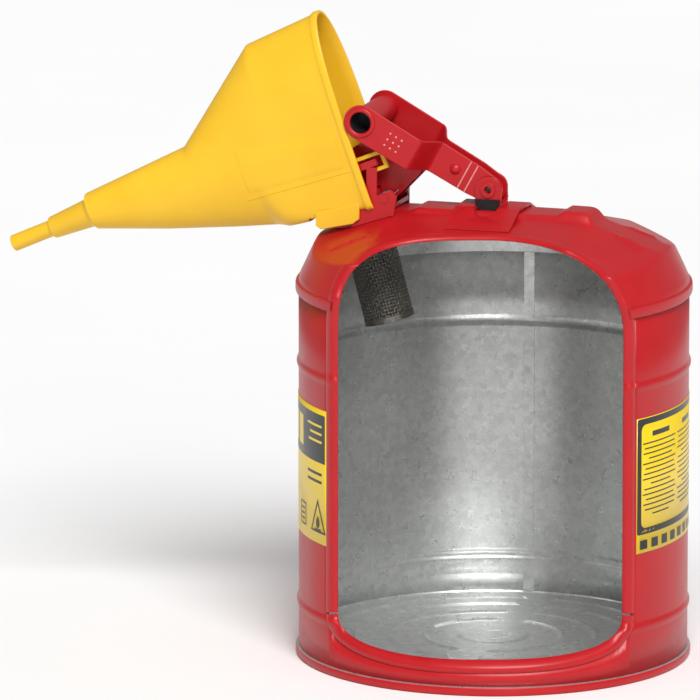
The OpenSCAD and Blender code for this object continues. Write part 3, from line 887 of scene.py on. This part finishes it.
def arm_half(x):
    """Half of the arm's height at x."""
    if x < -ARM_L:
        return math.sqrt(max(ARM_END_R ** 2 - (x + ARM_L) ** 2, 0))
    if x > 0:
        return math.sqrt(max(PIVOT_END_R ** 2 - x ** 2, 0))
    if x > ARM_NECK_X:
        return ARM_NECK_H + (PIVOT_END_R - ARM_NECK_H) * (x - ARM_NECK_X) / -ARM_NECK_X
    return ARM_END_R + (ARM_NECK_H - ARM_END_R) * (x + ARM_L) / (ARM_L + ARM_NECK_X)


def arm(name, node, side):
    """A stamped arm: one plate, joggled from the grip's width in to the clevis, with rolled edges."""
    nearly = 0.9995
    ends = [math.cos(math.pi * i / 28) for i in range(15)]
    xs = [-ARM_L - ARM_END_R * e * nearly for e in ends]
    xs += [-ARM_L + ARM_L * i / 90 for i in range(1, 90)]
    xs += [PIVOT_END_R * e * nearly for e in reversed(ends)]
    half_plate = ARM_PLATE / 2
    soft = 0.45
    rings = []
    for x in xs:
        slope = (arm_y(x + 0.1) - arm_y(x - 0.1)) / 0.2
        normal = Vector((-slope, 1)).normalized() * half_plate
        middle = arm_y(x) + half_plate
        h = arm_half(x)
        k = min(soft, h * 0.3)
        upper = [(-1, h - k), (-0.4, h), (0.4, h), (1, h - k)]
        corners = upper + [(t, -z) for t, z in reversed(upper)]
        rings.append([ON_HANDLE @ Vector((x + normal.x * t, side * (middle + normal.y * t), z))
                      for t, z in corners])
    obj = new_piece(name, flat(rings), loft(rings, closed=False), [RED], "handle",
                    replaces=(node,))
    pin = ON_HANDLE @ ALONG_Y
    at_grip = ON_HANDLE @ Matrix.Translation((-ARM_L, 0, 0)) @ ALONG_Y
    cut(obj, [prism(circle(PIVOT_R + 0.05), -40, 40, pin), prism(circle(GRIP_R - 0.3, 72), -40, 40, at_grip)])
    shade(obj, 40)


def arm_marks(side):
    """Two fine raised lines across the arm, and a small plain grid of dots near the grip."""
    name = "near" if side < 0 else "far"
    marks = Bundle()
    face = ARM_NARROW_Y + ARM_PLATE
    for x in RIB_XS:
        half = arm_half(x) - 0.6
        path = [ON_HANDLE @ Vector((x, side * (face - 0.1), -half + 2 * half * i / 8)) for i in range(9)]
        marks.add(tube(path, 0.55, 10))
    for i in range(3):
        for j in range(3):
            x, z = -ARM_L + 24 + 5 * i, -5 + 5 * j
            path = [ON_HANDLE @ Vector((x, side * (ARM_WIDE_Y + ARM_PLATE + h), z)) for h in (-0.4, 0.15)]
            rings = tube(path, 0.8, 12)
            top = path[-1] + Vector((0, side * 0.22, 0))
            marks.add(rings + [[top + (p - path[-1]) * 0.6 for p in rings[-1]]])
    new_piece(f"arm_marks_{name}", marks.points, marks.faces, [EDGE], "handle", sharp=60)


def grip():
    """The hollow grip: a tube whose two ends are rolled out over the arms."""
    outer = ARM_WIDE_Y + ARM_PLATE
    flare = GRIP_R + 1.2
    roll_r, roll_h = 1.75, 1.5
    ends = []
    for k in range(13):
        a = math.pi * k / 12
        ends.append((GRIP_HOLE_R + roll_r - roll_r * math.cos(a), roll_h * math.sin(a)))
    profile = [(GRIP_HOLE_R, -outer + 1), (GRIP_HOLE_R, outer - 1)]
    profile += [(r, outer + h) for r, h in ends]
    profile += [(flare, outer), (GRIP_R, outer - 0.1), (GRIP_R, -outer + 0.1), (flare, -outer)]
    profile += [(r, -outer - h) for r, h in reversed(ends)]
    place = ON_HANDLE @ Matrix.Translation((-ARM_L, 0, 0)) @ ALONG_Y
    obj = lathe("grip", profile, place, "handle", [RED, SHADE_BLACK], 72, ("grip_tube",), 50)
    # The bore's inside faces take the near-black material: painted shade inside the tube.
    back = place.inverted()
    for face in obj.data.polygons:
        middle = back @ (face.center / MM)
        if math.hypot(middle.x, middle.y) < GRIP_HOLE_R + 0.1 and abs(middle.z) < outer - 0.2:
            face.material_index = 1


def clevis_painted_shadow(name, side):
    """A near-black half disc under an ear of the clevis: a painted shadow standing for the dark gap below the
    ear.
    """
    arc = [(PIVOT.x + SHADOW_DISC_R * c, SHADOW_DISC_TOP - SHADOW_DISC_R * s) for c, s in circle(1, 48)[:25]]
    rings = plate_y(arc, side * SHADOW_DISC_Y[0], side * SHADOW_DISC_Y[1])
    new_piece(name, flat(rings), loft(rings, closed=False), [SHADE_BLACK], "can")


def handle():
    """Both arms with their marks, the grip, and the pivot's parts on the dome."""
    arm("arm_near", "handle_arm_near", -1)
    arm("arm_far", "handle_arm_far", 1)
    arm_marks(-1)
    arm_marks(1)
    grip()
    rounded("handle_rivet", 0, RED)
    rounded("handle_spacer", 0.3, ZINC)
    rounded("handle_saddle", 0.8, RED, segments=3)
    rounded("handle_clevis", 0.4, RED)
    rounded("handle_pivot_tube", 0.5, RED, segments=3)
    # Painted shadows: near-black half discs under the clevis ears.
    clevis_painted_shadow("clevis_cushion_near", -1)
    clevis_painted_shadow("clevis_cushion_far", 1)


# ---------------------------------------------------------------- funnel

TOP_LINE = [(-322.5, 334.0), (-243.8, 374.6), (-194.8, 455.4), (-139.5, 483.0)]
LOW_LINE = [(-310.0, 307.5), (-256.0, 310.5), (-200.0, 315.5), (-156.0, 320.5), (-134.0, 328.0),
            (-88.0, 341.0)]
CONE_RISE = 0.516
STEM_HALF, MOUTH_HALF = 15, 29.8
MOULD_LINE = ((-198.0, 336.6), (-102.6, 369.2))
PANEL_TOP = ((-213.0, 374.0), (-113.0, 396.5))
PANEL_LOW = ((-213.0, 337.0), (-104.0, 372.5))


def along(line, t):
    """The point at share t of a line's length."""
    spans = [math.dist(a, b) for a, b in zip(line, line[1:])]
    go = t * sum(spans)
    for (a, b), span in zip(zip(line, line[1:]), spans):
        if go <= span or (a, b) == (line[-2], line[-1]):
            return a[0] + (b[0] - a[0]) * go / span, a[1] + (b[1] - a[1]) * go / span
        go -= span


def line_z(line, x):
    """The line's height over x."""
    for a, b in zip(line, line[1:]):
        if x <= b[0] or b == line[-1]:
            return a[1] + (b[1] - a[1]) * (x - a[0]) / (b[0] - a[0])


def oval(h, n):
    """Half width, as a share, at height h of an oval of power n."""
    return max(1 - abs(h) ** n, 0) ** (1 / n)


def half_width(t):
    """Half width of the funnel's widest line at share t of its length."""
    return STEM_HALF + (MOUTH_HALF - STEM_HALF) * t


def funnel_half(t, h, x, z):
    """Half width of the funnel at share t of its length and height h from -1 to 1 of its section."""
    wide = half_width(t)
    blunt_low = 2.2 + 17.8 * step(t, 0.62, 0.88)
    shell = wide * oval(h, 2.2 if h > 0 else blunt_low)
    start_x, start_z = TOP_LINE[0]
    top, low = start_z + CONE_RISE * (x - start_x), line_z(LOW_LINE, x)
    u = (2 * z - top - low) / (top - low)
    cone = (wide + 0.9 * step(t, 0.3, 0.5)) * oval(u, 2.3 if u > 0 else blunt_low)
    return max(soft_max(shell, cone, 0.5) - 0.5, 0)


def section(t):
    """Middle, half height and upward direction, in X and Z, of the funnel's section at share t."""
    (tx, tz), (lx, lz) = along(TOP_LINE, t), along(LOW_LINE, t)
    tall = math.dist((tx, tz), (lx, lz))
    return ((tx + lx) / 2, (tz + lz) / 2), tall / 2, ((tx - lx) / tall, (tz - lz) / tall)


def funnel_ring(t, grow, ahead=0.0, n=72):
    """A ring of the funnel's skin at share t of its length, grown by grow and moved ahead."""
    (mx, mz), half, (ux, uz) = section(t)
    wide = half_width(t)
    ring = []
    for i in range(2 * n):
        a = math.pi * (i + 0.5) / n
        h = math.cos(a)
        side = 1 if i < n else -1
        y = funnel_half(t, h, mx + half * h * ux, mz + half * h * uz)
        reach = (half + grow) * h
        ring.append(Vector((mx + reach * ux + ahead * uz, side * y * (wide + grow) / wide,
                            mz + reach * uz - ahead * ux)))
    return ring


def on_side(t, line, side, out):
    """The point of the side wall at share t that lies on a line in X and Z, moved outwards."""
    (mx, mz), half, (ux, uz) = section(t)
    (ax, az), (bx, bz) = line
    dx, dz = bx - ax, bz - az
    h = ((ax - mx) * dz - (az - mz) * dx) / (half * (ux * dz - uz * dx))
    x, z = mx + half * h * ux, mz + half * h * uz
    return Vector((x, side * (funnel_half(t, h, x, z) + out), z))


def funnel_marks(side):
    """A plain raised panel on the side wall and the mould's parting line below it."""
    parts = Bundle()
    rows, columns = 12, 40
    lines = []
    for k in range(rows + 1):
        lines.append(tuple((a[0] + (b[0] - a[0]) * k / rows, a[1] + (b[1] - a[1]) * k / rows)
                           for a, b in zip(PANEL_TOP, PANEL_LOW)))
    rings = []
    for i in range(columns + 1):
        t = 0.60 + 0.36 * i / columns
        skin = [on_side(t, line, side, 0.55 if 0 < k < rows else 0.1) for k, line in enumerate(lines)]
        back = [on_side(t, line, side, -0.5) for line in reversed(lines)]
        rings.append(skin + back)
    parts.add(rings)
    seam = [on_side(0.58 + 0.40 * i / columns, MOULD_LINE, side, -0.1) for i in range(columns + 1)]
    parts.add(tube(seam, 0.5, 8))
    name = "near" if side < 0 else "far"
    new_piece(f"funnel_panel_{name}", parts.points, parts.faces, [YELLOW], "funnel")


def funnel():
    """The moulded shell with its rolled mouth, open below where it straddles the neck and the bracket."""
    n = 110
    shares = [i / n for i in range(n + 1) if i / n < 0.98]
    mouth = [(0.2, -3.6), (0.8, -3.3), (1.1, -2.6), (1.1, 1.3), (0.7, 1.9), (0.0, 2.1), (-1.0, 2.0),
             (-1.6, 1.3)]
    rings = [funnel_ring(t, 0) for t in shares]
    rings += [funnel_ring(1, grow, ahead) for grow, ahead in mouth]
    rings += [funnel_ring(t, -FUNNEL_WALL) for t in reversed(shares)]
    obj = new_piece("funnel_shell", flat(rings), loft(rings), [YELLOW], "funnel", sharp=38,
                    replaces=("funnel",))
    gaps = [[(x, -y), (-60, -y), (-60, y), (x, y)] for x, y in FUNNEL_GAPS]
    cut(obj, [prism(gap, 290, 360, Matrix.Identity(4)) for gap in gaps])
    shade(obj, 38)
    place = Matrix.Translation(FUNNEL_TIP) @ Matrix.Rotation(math.pi / 2 - FUNNEL_SLOPE, 4, "Y")
    skin = [(4.6, 0.5), (5.1, 0), (5.9, 0), (6.35, 0.5), (6.35, 33.2), (6.7, 34.0), (8.1, 34.4), (8.5, 35.2),
            (11, 66.8), (11.4, 67.6), (14.0, 70.0), (14.6, 71.4), (14.8, 74)]
    stem = skin + [(13.2, 74), (12.8, 71.5), (9, 67.6), (6.6, 35.6), (4.6, 34)]
    lathe("funnel_stem", stem, place, "funnel", [YELLOW], 64)
    funnel_marks(-1)
    funnel_marks(1)
    funnel_clip("funnel_clip_near", -1)
    funnel_clip("funnel_clip_far", 1)


def plate_y(outline, y0, y1):
    """Two rings of an outline in X and Z, at y0 and y1."""
    return [[Vector((x, y, z)) for x, z in outline] for y in (y0, y1)]


def funnel_clip(name, side):
    """A hook over the bracket's bar with its bridge, and a foot beside the neck."""
    place = Matrix.Translation(BAR_AT) @ Matrix.Rotation(-BAR_SLOPE, 4, "Y")
    hook = [(-15, 4.4), (13.3, 4.4), (13.3, -4.4), (4.7, -4.4), (4.7, -7.4), (16.3, -7.4), (16.3, 7.4),
            (-15, 7.4)]
    bridge = [(-110, 373), (-105, 373), (-105, 378), (-110, 378)]
    foot = [(-131, 325.5), (-127, 323), (-102, 328.5), (-97, 332.5), (-97, 344), (-131, 336)]
    parts = Bundle()
    parts.add([[place @ p for p in ring] for ring in plate_y(hook, *(side * y for y in HOOK_Y))])
    parts.add(plate_y(bridge, *(side * y for y in BRIDGE_Y)))
    parts.add(plate_y(foot, *(side * y for y in FOOT_Y)))
    soften(new_piece(name, parts.points, parts.faces, [YELLOW], "funnel"), 0.5)


# ---------------------------------------------------------------- the studio

def direction(turn, rise):
    """The way to a place seen at an angle right of the -Y side and above the floor."""
    return Vector((math.sin(turn) * math.cos(rise), -math.cos(turn) * math.cos(rise), math.sin(rise)))


def studio():
    """A pale floor, a soft white room and one broad soft lamp above the viewer."""
    mesh = bpy.data.meshes.new("studio_floor")
    corners = [(x * FLOOR_HALF_M, y * FLOOR_HALF_M, 0) for x, y in ((-1, -1), (1, -1), (1, 1), (-1, 1))]
    mesh.from_pydata(corners, [], [(0, 1, 2, 3)])
    ground = bpy.data.objects.new("studio_floor", mesh)
    bpy.context.scene.collection.objects.link(ground)
    mesh.materials.append(varied("studio_floor", (0.92, 0.92, 0.92), (0.94, 0.94, 0.94), 2, (0.8, 0.9)))
    world = bpy.data.worlds.new("studio")
    bpy.context.scene.world = world
    world.use_nodes = True
    world.node_tree.nodes["Background"].inputs["Color"].default_value = (1, 1, 1, 1)
    world.node_tree.nodes["Background"].inputs["Strength"].default_value = ROOM_LIGHT
    lamp = bpy.data.lights.new("key", "SUN")
    lamp.energy = SUN_STRENGTH
    lamp.angle = SUN_WIDTH
    key = bpy.data.objects.new("key", lamp)
    key.rotation_euler = (-direction(SUN_TURN, SUN_RISE)).to_track_quat("-Z", "Y").to_euler()
    bpy.context.scene.collection.objects.link(key)
    bpy.context.scene.view_settings.view_transform = "Standard"


def camera():
    """Seen square on to the window's cut, a little above, from eight metres away."""
    right = Vector((math.cos(WINDOW_TURN), math.sin(WINDOW_TURN), 0))
    back = direction(WINDOW_TURN, WINDOW_TILT)
    up = back.cross(right)
    data = bpy.data.cameras.new("camera")
    data.lens = LENS_MM
    data.sensor_width = 36
    data.clip_end = 100
    obj = bpy.data.objects.new("camera", data)
    obj.matrix_world = Matrix((right, up, back)).transposed().to_4x4()
    obj.location = AIM_RIGHT_M * right + AIM_UP_M * up + VIEW_M * back
    bpy.context.scene.collection.objects.link(obj)
    bpy.context.scene.camera = obj


# ---------------------------------------------------------------- assembly

studio()
camera()
shell = rounded("body_shell", 0, RED)
two_tone(shell, RED, ZINC)
rounded("side_seam_weld", 0.1, ZINC)
dome()
trims()
bottom_pan()
right_label()
left_label()
spout()
handle()
funnel()
